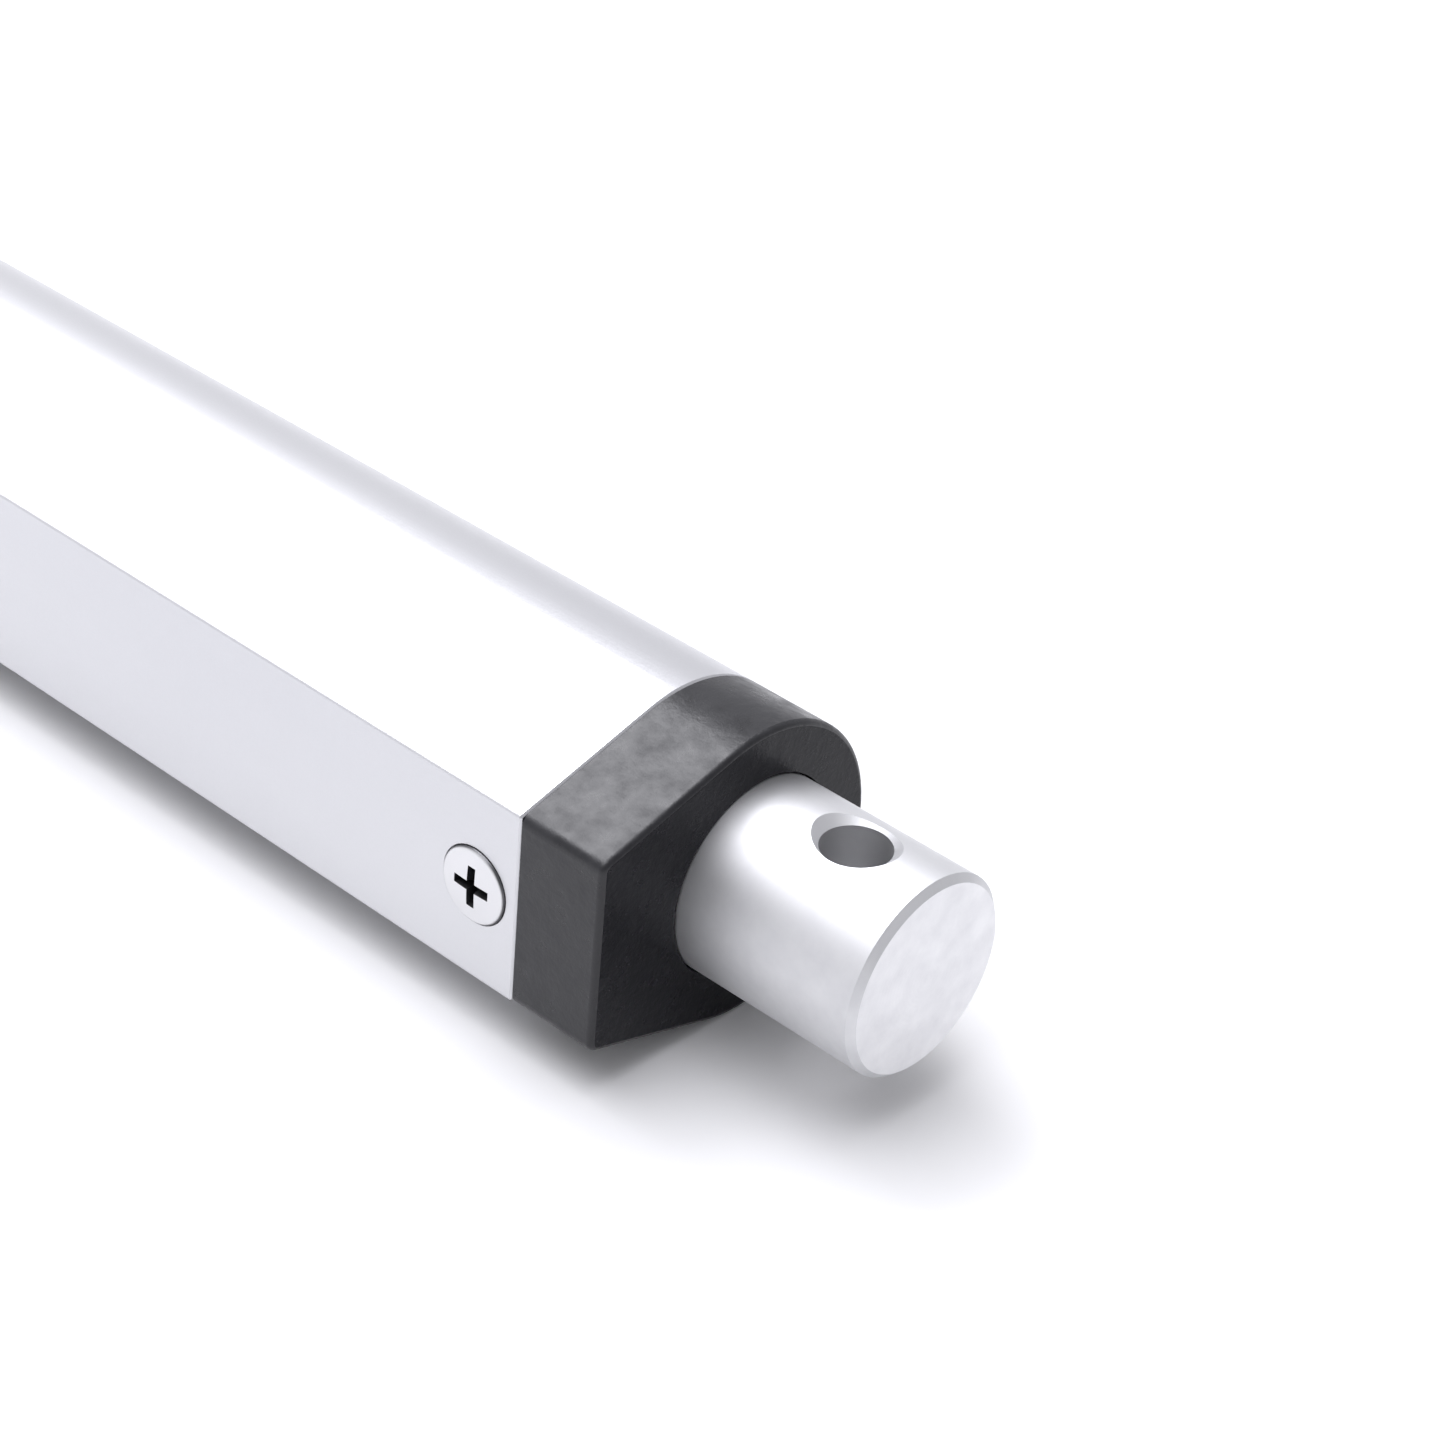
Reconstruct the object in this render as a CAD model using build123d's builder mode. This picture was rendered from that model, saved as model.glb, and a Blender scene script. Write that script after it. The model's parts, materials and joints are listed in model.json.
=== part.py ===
from build123d import *
import os
from math import acos, cos, pi, radians, sin, tan

os.makedirs("parts", exist_ok=True)

# Mini linear actuator. +X is the way the rod extends, +Z is up, and the housing's flat
# side faces -Y. The origin is on the rear pin hole's axis, on the rod's centre line.
# All sizes are in millimetres, and the rod is drawn in.

# ---------------------------------------------------------------- driving dimensions
# Housing section: a round back about the rod's axis, a flat side and two tapered sides
back_radius = 11.4
flat_distance = 15.0
taper = radians(16.25)
corner_radius = 0.9
tube_corner_radius = 0.3
wall = 1.6
edge_break = 0.15
cap_edge_radius = 0.45

# Main lengths
stroke = 50.0
pin_distance = 155.0
tip_beyond_pin = 7.0
rod_showing = 15.4
cap_thickness = 7.5
tube_length = 124.0
front_spigot_length = 9.1
rear_spigot_length = 6.9

# Rod and pin holes
rod_radius = 7.5
rod_bore_radius = 5.0
rod_end_solid = 8.0
rod_bevel = 0.5
pin_radius = 2.5
pin_chamfer = 0.75
tongue_half_width = 7.5
tongue_thickness = 12.0
tongue_edge_radius = 0.6

# Fits between pieces
running_gap = 0.05
seat_gap = 0.03
spigot_gap = 0.1
rod_hole_gap = 0.15
nut_gap = 0.25
slot_gap = 0.1
side_gap = 0.2
face_gap = 0.02
press_gap = 0.01

# Guide bush, wiper and cap seals
bush_wall = 1.0
wiper_wall = 1.4
wiper_lip = 0.5
seal_width = 1.0
seal_depth = 0.8

# Cap screws, M3 countersunk, through the flat side
screw_radius = 1.5
screw_head_radius = 2.9
screw_crown = 0.15
screw_proud = 0.4
screw_rim_radius = 0.3
screw_length = 5.9
screw_from_tube_end = 3.9
screw_clearance = 0.1
cross_length = 3.2
cross_width = 0.72
cross_depth = 1.5

# Cable inlet
inlet_y = -11.0
inlet_radius = 2.3
inlet_collar_radius = 3.1
inlet_collar_thickness = 1.3
inlet_collar_rounding = 0.5
cable_hole_radius = 1.6

# Motor
motor_radius = 8.0
motor_length = 24.0
can_wall = 0.8
shaft_radius = 0.75
magnet_thickness = 1.2
air_gap = 0.5
pole_count = 3
commutator_radius = 2.2
commutator_length = 2.6
commutator_margin = 0.6
segment_gap = 0.3
bell_rim = 2.0
bell_floor = 2.4
bell_depth = 6.2
bell_bore_radius = 4.6
motor_edge = 0.4
bush_seat_radius = 2.2
rear_bush_length = 2.6
front_bush_length = 1.8
shaft_recess = 0.6
terminal_height = 5.4
terminal_width = 2.0
terminal_thickness = 0.4
terminal_length = 6.8
terminal_overhang = 3.0
terminal_hole_radius = 0.5
brush_top = 6.4
brush_thickness = 1.6
brush_width = 1.2
magnet_overhang = 0.6
magnet_split = 5.0
armature_length = 9.6
hub_radius = 1.8
neck_half_width = 0.9
shoe_inner_radius = 4.1
slot_opening = 1.4
coil_middle = 2.75
coil_depth = 1.4
coil_width = 4.2
coil_overhang = 1.4

# Planetary gearbox, two alike stages
gear_module = 0.3
sun_teeth = 12
planet_teeth = 15
planet_count = 3
tooth_thinning = 0.08
gear_width = 3.2
planet_pin_radius = 0.7
carrier_thickness = 1.4
gearbox_length = 15.0
end_plate_thickness = 1.6
output_shaft_radius = 2.0
plate_bore_radius = 3.0
coupling_pin_radius = 0.5
stage_gap = 0.3

# Lead screw, trapezoidal thread 6 x 2, and its ball bearing, 6 x 12 x 4
thread_radius = 3.0
thread_root_radius = 2.0
thread_lead = 2.0
thread_crest_half = 0.36
thread_root_half = 0.56
thread_gap = 0.14
threaded_length = 61.0
collar_radius = 3.9
collar_length = 2.4
race_inner_radius = 3.0
race_outer_radius = 6.0
race_width = 4.0
ball_radius = 0.8
ball_count = 8

# Drive nut
nut_flange = 5.4
nut_boss = 8.0
nut_nose = 10.6
lock_pin_radius = 0.75
magnet_radius = 1.5
magnet_depth = 1.5

# Sensor board
board_half_width = 5.0
board_thickness = 1.0
board_slot = 1.0
sensor_size = (4.0, 1.0, 3.0)

# ---------------------------------------------------------------- stations along X
rod_tip = pin_distance + tip_beyond_pin
front_face = rod_tip - rod_showing
tube_front = front_face - cap_thickness
tube_rear = tube_front - tube_length
rear_face = tube_rear - cap_thickness
front_spigot_end = tube_front - front_spigot_length
rear_spigot_end = tube_rear + rear_spigot_length
front_screw_x = tube_front - screw_from_tube_end
rear_screw_x = tube_rear + screw_from_tube_end
bush_front = tube_front + 2.4
wiper_rear = bush_front + 1.6
wiper_front = wiper_rear + 2.2

motor_rear = rear_spigot_end + 0.4
motor_front = motor_rear + motor_length
first_planet_rear = motor_front + 1.0
first_carrier_rear = first_planet_rear + gear_width + side_gap
second_planet_rear = first_carrier_rear + carrier_thickness + stage_gap
second_carrier_rear = second_planet_rear + gear_width + side_gap
gearbox_front = motor_front + gearbox_length
plate_front = gearbox_front + end_plate_thickness
holder_rear = plate_front + side_gap
race_rear = holder_rear + 1.4
race_front = race_rear + race_width
holder_front = race_front + 1.6
collar_front = race_front + collar_length
nut_rear = holder_front + 1.2
rod_rear = nut_rear + nut_flange

# ---------------------------------------------------------------- worked-out sizes
spigot_inset = wall + spigot_gap
seal_inset = spigot_inset + seal_depth
wiring_inset = spigot_inset + 1.0
wiring_floor = rear_face + 4.4
boss_half = 2.5
boss_depth = 4.3
bush_radius = rod_radius + bush_wall
wiper_radius = rod_radius + wiper_wall
board_middle_y = -(flat_distance - wall - 0.2) + board_thickness / 2
board_inner_y = board_middle_y + board_thickness / 2
flat_normal = (0, -1, 0)

thread_flank_slope = (thread_root_half - thread_crest_half) / (thread_radius - thread_root_radius)
nut_thread_half = thread_lead / 2 - thread_crest_half - thread_gap
thread_sunk = 0.3
thread_start = collar_front + 1.5

sun_radius = gear_module * sun_teeth / 2
planet_radius = gear_module * planet_teeth / 2
ring_radius = sun_radius + 2 * planet_radius
planet_orbit = sun_radius + planet_radius
addendum = 0.8 * gear_module
dedendum = 1.25 * gear_module
planet_angles = [2 * pi * number / planet_count for number in range(planet_count)]

# ---------------------------------------------------------------- shared profiles
def draw_section(inset, nose=None, corner=corner_radius, mode=Mode.ADD):
    """Draw the housing's section, moved in by inset, in the sketch being built.

    nose is the flat's distance from the axis where it isn't the housing's own flat, and
    corner is the radius of the flat's two corners.
    """
    radius = back_radius - inset
    if nose is None:
        nose = flat_distance - inset
    half_flat = (radius - nose * sin(taper)) / cos(taper)
    tangent_y = -radius * sin(taper)
    tangent_z = radius * cos(taper)
    with BuildLine() as outline:
        sides = FilletPolyline(
            (tangent_y, -tangent_z),
            (-nose, -half_flat),
            (-nose, half_flat),
            (tangent_y, tangent_z),
            radius=corner,
        )
        ThreePointArc(sides @ 1, (radius, 0), sides @ 0)
    make_face(outline.edges(), mode=mode)


def involute(angle):
    """Return the involute function of a pressure angle in radians."""
    return tan(angle) - angle


def draw_gear(teeth, tip_radius, root_radius, thinning, mode=Mode.ADD):
    """Draw a gear outline in the sketch being built, with one tooth along its local X.

    thinning is taken off each tooth's thickness at the pitch circle, to leave backlash.
    """
    pressure_angle = radians(20)
    pitch_radius = gear_module * teeth / 2
    base_radius = pitch_radius * cos(pressure_angle)
    flank_start = max(base_radius, root_radius)
    flank_radii = (flank_start, (flank_start + tip_radius) / 2, tip_radius)
    half_at_base = pi / (2 * teeth) - thinning / (2 * pitch_radius) + involute(pressure_angle)
    halves = [half_at_base - involute(acos(base_radius / radius)) for radius in flank_radii]
    flank = list(zip(flank_radii, halves))
    if root_radius < flank_start:
        flank.insert(0, (root_radius, halves[0]))
    points = []
    for tooth in range(teeth):
        middle = 2 * pi * tooth / teeth
        angles = [(radius, middle - half) for radius, half in flank]
        angles += [(radius, middle + half) for radius, half in reversed(flank)]
        points += [(radius * cos(angle), radius * sin(angle)) for radius, angle in angles]
    with BuildLine() as outline:
        Polyline(*points, close=True)
    make_face(outline.edges(), mode=mode)


def across(x, radius, angle):
    """Return a plane facing +X whose local X points outwards, at an angle round the axis."""
    outwards = (0, cos(angle), sin(angle))
    origin = (x, radius * outwards[1], radius * outwards[2])
    return Plane(origin=origin, x_dir=outwards, z_dir=(1, 0, 0))


def ring(x, length, outer_radius, inner_radius):
    """Add a plain ring about the rod's axis to the part being built."""
    with BuildSketch(Plane.YZ.offset(x)) as annulus:
        Circle(outer_radius)
        Circle(inner_radius, mode=Mode.SUBTRACT)
    extrude(annulus.sketch, amount=length)


def rod_about_axis(x, length, radius, mode=Mode.ADD):
    """Add or cut a cylinder about the rod's axis in the part being built."""
    with BuildSketch(Plane.YZ.offset(x)) as disc:
        Circle(radius)
    extrude(disc.sketch, amount=length, mode=mode)


def thread_ridge(x, length, base_radius, base_half, top_radius, top_half):
    """Add one right-hand helical ridge to the part being built, starting on +Z at x.

    base and top are the ridge's two ends in radius; each half is half its width there.
    """
    with BuildLine() as path:
        Helix(thread_lead, length, base_radius, center=(x, 0, 0), direction=(1, 0, 0))
    start = path.line @ 0
    with BuildSketch(Plane(origin=start, x_dir=(0, 0, 1), z_dir=path.line % 0)) as profile:
        with BuildLine() as outline:
            Polyline(
                (0, base_half),
                (top_radius - base_radius, top_half),
                (top_radius - base_radius, -top_half),
                (0, -base_half),
                close=True,
            )
        make_face(outline.edges())
    sweep(profile.sketch, path=path.line, is_frenet=True)


def save(piece, name):
    """Label a finished piece and write its STEP file."""
    piece.part.label = name
    export_step(piece.part, f"parts/{name}.step")


# ---------------------------------------------------------------- housing shell
with BuildPart() as housing_tube:
    with BuildSketch(Plane.YZ.offset(tube_rear)):
        draw_section(0, corner=tube_corner_radius)
    extrude(amount=tube_length)
    chamfer(housing_tube.edges().group_by(Axis.X)[0], edge_break)
    chamfer(housing_tube.edges().group_by(Axis.X)[-1], edge_break)
    with BuildSketch(Plane.YZ.offset(tube_rear)):
        draw_section(wall)
    extrude(amount=tube_length, mode=Mode.SUBTRACT)
    for screw_x in (front_screw_x, rear_screw_x):
        with Locations(Plane(origin=(screw_x, -flat_distance, 0), z_dir=flat_normal)):
            CounterSinkHole(
                radius=screw_radius + screw_clearance,
                counter_sink_radius=screw_head_radius + screw_clearance,
                depth=2 * wall,
                counter_sink_angle=90,
            )
save(housing_tube, "housing_tube")

with BuildPart() as front_cap:
    with BuildSketch(Plane.YZ.offset(tube_front)):
        draw_section(0)
    extrude(amount=cap_thickness)
    fillet(front_cap.edges().group_by(Axis.X)[-1], cap_edge_radius)
    chamfer(front_cap.edges().group_by(Axis.X)[0], edge_break)
    with BuildSketch(Plane.YZ.offset(front_spigot_end)):
        draw_section(spigot_inset)
    extrude(amount=front_spigot_length)
    # Groove for the seal at the root of the spigot
    with BuildSketch(Plane.YZ.offset(tube_front - seal_width)):
        draw_section(spigot_inset - 0.3)
        draw_section(seal_inset, mode=Mode.SUBTRACT)
    extrude(amount=seal_width, mode=Mode.SUBTRACT)
    # Rod passage, seat for the guide bush and groove for the wiper
    rod_about_axis(
        front_spigot_end, front_face - front_spigot_end, rod_radius + rod_hole_gap, Mode.SUBTRACT
    )
    rod_about_axis(
        front_spigot_end, bush_front - front_spigot_end, bush_radius + seat_gap, Mode.SUBTRACT
    )
    rod_about_axis(wiper_rear, wiper_front - wiper_rear, wiper_radius + seat_gap, Mode.SUBTRACT)
    # Screw hole, and the slot that holds the sensor board's end
    with BuildSketch(Plane(origin=(front_screw_x, -flat_distance, 0), z_dir=flat_normal)):
        Circle(screw_radius)
    extrude(amount=-(flat_distance - bush_radius + 0.3), mode=Mode.SUBTRACT)
    with BuildSketch(Plane.YZ.offset(front_spigot_end)):
        with Locations((board_middle_y, 0)):
            Rectangle(board_thickness + 2 * slot_gap, 2 * (board_half_width + slot_gap))
    extrude(amount=board_slot + slot_gap, mode=Mode.SUBTRACT)
save(front_cap, "front_cap")

with BuildPart() as rear_cap:
    with BuildSketch(Plane.YZ.offset(rear_face)):
        draw_section(0)
    extrude(amount=cap_thickness)
    fillet(rear_cap.edges().group_by(Axis.X)[0], cap_edge_radius)
    chamfer(rear_cap.edges().group_by(Axis.X)[-1], edge_break)
    with BuildSketch(Plane.YZ.offset(tube_rear)):
        draw_section(spigot_inset)
    extrude(amount=rear_spigot_length)
    with BuildSketch(Plane.YZ.offset(tube_rear)):
        draw_section(spigot_inset - 0.3)
        draw_section(seal_inset, mode=Mode.SUBTRACT)
    extrude(amount=seal_width, mode=Mode.SUBTRACT)
    # Wiring space, with a boss left in it for the screw
    with BuildSketch(Plane.YZ.offset(wiring_floor)):
        draw_section(wiring_inset)
    extrude(amount=rear_spigot_end - wiring_floor, mode=Mode.SUBTRACT)
    with BuildSketch(Plane.YZ.offset(rear_screw_x - boss_half)):
        with Locations((boss_depth / 2 - flat_distance + spigot_inset + 0.2, 0)):
            Rectangle(boss_depth, 2 * boss_half)
    extrude(amount=2 * boss_half)
    with BuildSketch(Plane(origin=(rear_screw_x, -flat_distance, 0), z_dir=flat_normal)):
        Circle(screw_radius)
    extrude(amount=-(spigot_inset + boss_depth + 1), mode=Mode.SUBTRACT)
    # Cable inlet
    with BuildSketch(Plane.YZ.offset(rear_face)):
        with Locations((inlet_y, 0)):
            Circle(inlet_radius)
    extrude(amount=wiring_floor - rear_face, mode=Mode.SUBTRACT)
    # Tongue, rounded about the rear pin
    with BuildSketch(Plane.XY.offset(-tongue_thickness / 2)):
        Circle(tongue_half_width)
        with Locations(((rear_face + 1) / 2, 0)):
            Rectangle(rear_face + 1, 2 * tongue_half_width)
    extrude(amount=tongue_thickness)
    tongue_rims = rear_cap.edges().filter_by(
        lambda edge: abs(abs(edge.center().Z) - tongue_thickness / 2) < 0.01
        and edge.center().X < rear_face
    )
    fillet(tongue_rims, tongue_edge_radius)
    with BuildSketch(Plane.XY.offset(-tongue_thickness)):
        Circle(pin_radius)
    extrude(amount=2 * tongue_thickness, mode=Mode.SUBTRACT)
save(rear_cap, "rear_cap")

with BuildPart() as front_cap_seal:
    with BuildSketch(Plane.YZ.offset(tube_front - seal_width + 0.05)):
        draw_section(wall + face_gap)
        draw_section(seal_inset, mode=Mode.SUBTRACT)
    extrude(amount=seal_width - 0.1)
save(front_cap_seal, "front_cap_seal")

with BuildPart() as rear_cap_seal:
    with BuildSketch(Plane.YZ.offset(tube_rear + 0.05)):
        draw_section(wall + face_gap)
        draw_section(seal_inset, mode=Mode.SUBTRACT)
    extrude(amount=seal_width - 0.1)
save(rear_cap_seal, "rear_cap_seal")

# Both cap screws: raised countersunk head with a rounded rim, cross recess, plain shank
for name, screw_x in (("front_cap_screw", front_screw_x), ("rear_cap_screw", rear_screw_x)):
    head_top = Plane(
        origin=(screw_x, -flat_distance - screw_proud, 0), x_dir=(1, 0, 0), z_dir=flat_normal
    )
    cone_end = screw_proud + 0.1 + screw_head_radius - screw_radius
    rim_start = screw_head_radius - 0.8 * screw_rim_radius
    rim_end = screw_crown + 0.7 * screw_rim_radius
    with BuildPart() as cap_screw:
        with BuildSketch(Plane(origin=head_top.origin, x_dir=(1, 0, 0), z_dir=(0, 0, 1))):
            with BuildLine():
                crown = ThreePointArc(
                    (0, 0),
                    (rim_start / 2, screw_crown / 4),
                    (rim_start, screw_crown),
                )
                rim = RadiusArc(crown @ 1, (screw_head_radius, rim_end), -screw_rim_radius)
                Polyline(
                    rim @ 1,
                    (screw_head_radius, screw_proud + 0.1),
                    (screw_radius - seat_gap, cone_end),
                    (screw_radius - seat_gap, screw_length - 0.4),
                    (screw_radius - 0.4, screw_length),
                    (0, screw_length),
                    (0, 0),
                )
            make_face()
        revolve(axis=Axis((screw_x, 0, 0), (0, 1, 0)))
        with BuildSketch(head_top):
            Rectangle(cross_length, cross_width)
            Rectangle(cross_width, cross_length)
        extrude(amount=-cross_depth, taper=12, mode=Mode.SUBTRACT)
    save(cap_screw, name)

with BuildPart() as cable_grommet:
    with BuildSketch(Plane.YZ.offset(rear_face - inlet_collar_thickness)):
        with Locations((inlet_y, 0)):
            Circle(inlet_collar_radius)
    extrude(amount=inlet_collar_thickness)
    fillet(cable_grommet.edges().group_by(Axis.X)[0], inlet_collar_rounding)
    with BuildSketch(Plane.YZ.offset(rear_face)):
        with Locations((inlet_y, 0)):
            Circle(inlet_radius - face_gap)
    extrude(amount=wiring_floor - rear_face)
    with BuildSketch(Plane.YZ.offset(rear_face - 2 * inlet_collar_thickness)):
        with Locations((inlet_y, 0)):
            Circle(cable_hole_radius)
    extrude(amount=wiring_floor - rear_face + 4 * inlet_collar_thickness, mode=Mode.SUBTRACT)
save(cable_grommet, "cable_grommet")

# ---------------------------------------------------------------- rod guide and rod
with BuildPart() as rod_guide_bush:
    ring(front_spigot_end + 0.6, bush_front - front_spigot_end - 0.6, bush_radius,
         rod_radius + running_gap)
    chamfer(rod_guide_bush.edges().group_by(Axis.X)[0], 0.2)
save(rod_guide_bush, "rod_guide_bush")

with BuildPart() as rod_wiper_seal:
    with BuildSketch(Plane.XY):
        with BuildLine():
            Polyline(
                (wiper_rear + 0.05, wiper_radius),
                (wiper_rear + 0.05, rod_radius + wiper_lip),
                (wiper_front - 0.6, rod_radius + running_gap),
                (wiper_front - 0.1, rod_radius + running_gap),
                (wiper_front - 0.1, wiper_radius),
                close=True,
            )
        make_face()
    revolve(axis=Axis.X)
save(rod_wiper_seal, "rod_wiper_seal")

rod_bore_end = pin_distance - pin_radius - rod_end_solid
with BuildPart() as push_rod:
    rod_about_axis(rod_rear, rod_tip - rod_rear, rod_radius)
    chamfer(push_rod.edges().group_by(Axis.X)[-1], rod_bevel)
    rod_about_axis(rod_rear, rod_bore_end - rod_rear, rod_bore_radius, Mode.SUBTRACT)
    with BuildSketch(Plane.XY.offset(-2 * rod_radius)):
        with Locations((pin_distance, 0)):
            Circle(pin_radius)
    extrude(amount=4 * rod_radius, mode=Mode.SUBTRACT)
    # Countersinks at both ends of the pin hole, deepest where the rod's surface is highest
    cone_radius = pin_radius + 2 * pin_chamfer
    for side in (1, -1):
        seat = Plane(origin=(pin_distance, 0, side * (rod_radius + pin_chamfer)),
                     z_dir=(0, 0, side))
        with BuildSketch(seat):
            Circle(cone_radius)
        extrude(amount=-2 * pin_chamfer, taper=45, mode=Mode.SUBTRACT)
    lock_pin_x = rod_rear + nut_boss / 2
    with BuildSketch(Plane.XY.offset(-2 * rod_radius)):
        with Locations((lock_pin_x, 0)):
            Circle(lock_pin_radius + seat_gap)
    extrude(amount=4 * rod_radius, mode=Mode.SUBTRACT)
save(push_rod, "push_rod")

with BuildPart() as drive_nut:
    with BuildSketch(Plane.YZ.offset(nut_rear)):
        draw_section(wall + nut_gap, nose=nut_nose)
    extrude(amount=nut_flange)
    rod_about_axis(rod_rear, nut_boss, rod_bore_radius - seat_gap)
    rod_about_axis(nut_rear, nut_flange + nut_boss, thread_radius + thread_gap, Mode.SUBTRACT)
    # The nut's thread lies in the screw's groove, half a lead on from its ridge
    thread_ridge(
        thread_start + thread_lead / 2,
        nut_flange + nut_boss - 3,
        thread_radius + 2 * thread_gap,
        nut_thread_half + 2 * thread_gap * thread_flank_slope,
        thread_root_radius + thread_gap,
        nut_thread_half - (thread_radius - thread_root_radius - thread_gap) * thread_flank_slope,
    )
    with BuildSketch(Plane.XY.offset(-2 * rod_radius)):
        with Locations((lock_pin_x, 0)):
            Circle(lock_pin_radius + seat_gap)
    extrude(amount=4 * rod_radius, mode=Mode.SUBTRACT)
    with BuildSketch(Plane(origin=(nut_rear + nut_flange / 2, -nut_nose, 0), z_dir=flat_normal)):
        Circle(magnet_radius + seat_gap)
    extrude(amount=-(magnet_depth + slot_gap), mode=Mode.SUBTRACT)
save(drive_nut, "drive_nut")

with BuildPart() as nut_magnet:
    with BuildSketch(Plane(origin=(nut_rear + nut_flange / 2, -nut_nose, 0), z_dir=flat_normal)):
        Circle(magnet_radius)
    extrude(amount=-magnet_depth)
save(nut_magnet, "nut_magnet")

with BuildPart() as nut_lock_pins:
    for side in (1, -1):
        start = thread_radius + 0.6
        with BuildSketch(Plane(origin=(lock_pin_x, 0, side * start), z_dir=(0, 0, side))):
            Circle(lock_pin_radius)
        extrude(amount=rod_radius - side_gap - start)
save(nut_lock_pins, "nut_lock_pins")

# ---------------------------------------------------------------- motor
magnet_outer = motor_radius - can_wall - seat_gap
armature_radius = magnet_outer - magnet_thickness - air_gap
armature_rear = motor_rear + 8.4
brush_rear = motor_rear + 4.2
brush_tip = commutator_radius + running_gap
commutator_rear = brush_rear - commutator_margin
can_rear = motor_rear + bell_rim
can_inner_radius = motor_radius - can_wall
terminal_rear = motor_rear - terminal_overhang
shaft_rear = motor_rear + shaft_recess
shaft_front = first_carrier_rear - slot_gap

with BuildPart() as motor_can:
    rod_about_axis(can_rear, motor_front - can_rear, motor_radius)
    chamfer(motor_can.edges().group_by(Axis.X)[-1], motor_edge)
    rod_about_axis(can_rear, motor_front - can_wall - can_rear, can_inner_radius, Mode.SUBTRACT)
    rod_about_axis(motor_rear, motor_length, bush_seat_radius, Mode.SUBTRACT)
save(motor_can, "motor_can")

with BuildPart() as motor_end_bell:
    rod_about_axis(motor_rear, bell_rim, motor_radius)
    rod_about_axis(can_rear, bell_depth - bell_rim, can_inner_radius - running_gap)
    chamfer(motor_end_bell.edges().group_by(Axis.X)[0], motor_edge)
    rod_about_axis(motor_rear + bell_floor, bell_depth, bell_bore_radius, Mode.SUBTRACT)
    rod_about_axis(motor_rear, bell_depth, bush_seat_radius, Mode.SUBTRACT)
    # Slots for the brushes and the terminals, above and below the shaft
    with BuildSketch(Plane.YZ.offset(brush_rear - slot_gap)):
        Rectangle(brush_thickness + 4 * slot_gap, 2 * (brush_top + 2 * slot_gap))
    extrude(amount=bell_depth, mode=Mode.SUBTRACT)
    with BuildSketch(Plane.YZ.offset(motor_rear)):
        with GridLocations(0, 2 * terminal_height, 1, 2):
            Rectangle(terminal_width + slot_gap, terminal_thickness + slot_gap)
    extrude(amount=bell_depth, mode=Mode.SUBTRACT)
save(motor_end_bell, "motor_end_bell")

with BuildPart() as motor_terminals:
    with BuildSketch(Plane.YZ.offset(terminal_rear)):
        with GridLocations(0, 2 * terminal_height, 1, 2):
            Rectangle(terminal_width, terminal_thickness)
    extrude(amount=terminal_length)
    with BuildSketch(Plane.XY):
        with Locations((terminal_rear + 1.1, 0)):
            Circle(terminal_hole_radius)
    extrude(amount=motor_radius, both=True, mode=Mode.SUBTRACT)
save(motor_terminals, "motor_terminals")

with BuildPart() as motor_brushes:
    with BuildSketch(Plane.YZ.offset(brush_rear)):
        with GridLocations(0, brush_tip + brush_top, 1, 2):
            Rectangle(brush_thickness, brush_top - brush_tip)
    extrude(amount=brush_width)
save(motor_brushes, "motor_brushes")

with BuildPart() as motor_magnets:
    with BuildSketch(Plane.YZ.offset(armature_rear - magnet_overhang)):
        Circle(magnet_outer)
        Circle(magnet_outer - magnet_thickness, mode=Mode.SUBTRACT)
        Rectangle(magnet_split, 2 * motor_radius, mode=Mode.SUBTRACT)
    extrude(amount=armature_length + 2 * magnet_overhang)
save(motor_magnets, "motor_magnets")

with BuildPart() as motor_rear_bush:
    ring(motor_rear + side_gap, rear_bush_length, bush_seat_radius - seat_gap,
         shaft_radius + running_gap)
save(motor_rear_bush, "motor_rear_bush")

with BuildPart() as motor_front_bush:
    ring(motor_front - front_bush_length, front_bush_length, bush_seat_radius - seat_gap,
         shaft_radius + running_gap)
save(motor_front_bush, "motor_front_bush")

with BuildPart() as motor_shaft:
    rod_about_axis(shaft_rear, shaft_front - shaft_rear, shaft_radius)
    chamfer(motor_shaft.edges().group_by(Axis.X)[-1], 0.15)
save(motor_shaft, "motor_shaft")

neck_inner = 1.0
neck_outer = shoe_inner_radius + 0.5
with BuildPart() as armature_core:
    with BuildSketch(Plane.YZ.offset(armature_rear)):
        Circle(armature_radius)
        Circle(shoe_inner_radius, mode=Mode.SUBTRACT)
        with PolarLocations(armature_radius, pole_count, start_angle=180 / pole_count):
            Rectangle(shoe_inner_radius, slot_opening, mode=Mode.SUBTRACT)
        Circle(hub_radius)
        with PolarLocations((neck_outer + neck_inner) / 2, pole_count):
            Rectangle(neck_outer - neck_inner, 2 * neck_half_width)
        Circle(shaft_radius + press_gap, mode=Mode.SUBTRACT)
    extrude(amount=armature_length)
save(armature_core, "armature_core")

with BuildPart() as armature_windings:
    for pole in range(pole_count):
        angle = 2 * pi * pole / pole_count
        coil = across(armature_rear - coil_overhang, 0, angle)
        with BuildSketch(coil):
            with Locations((coil_middle, 0)):
                Rectangle(coil_depth, coil_width)
        extrude(amount=armature_length + 2 * coil_overhang)
        core = across(armature_rear - running_gap, 0, angle)
        with BuildSketch(core):
            with Locations((coil_middle, 0)):
                Rectangle(2 * coil_depth, 2 * (neck_half_width + running_gap))
        extrude(amount=armature_length + 2 * running_gap, mode=Mode.SUBTRACT)
save(armature_windings, "armature_windings")

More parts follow.
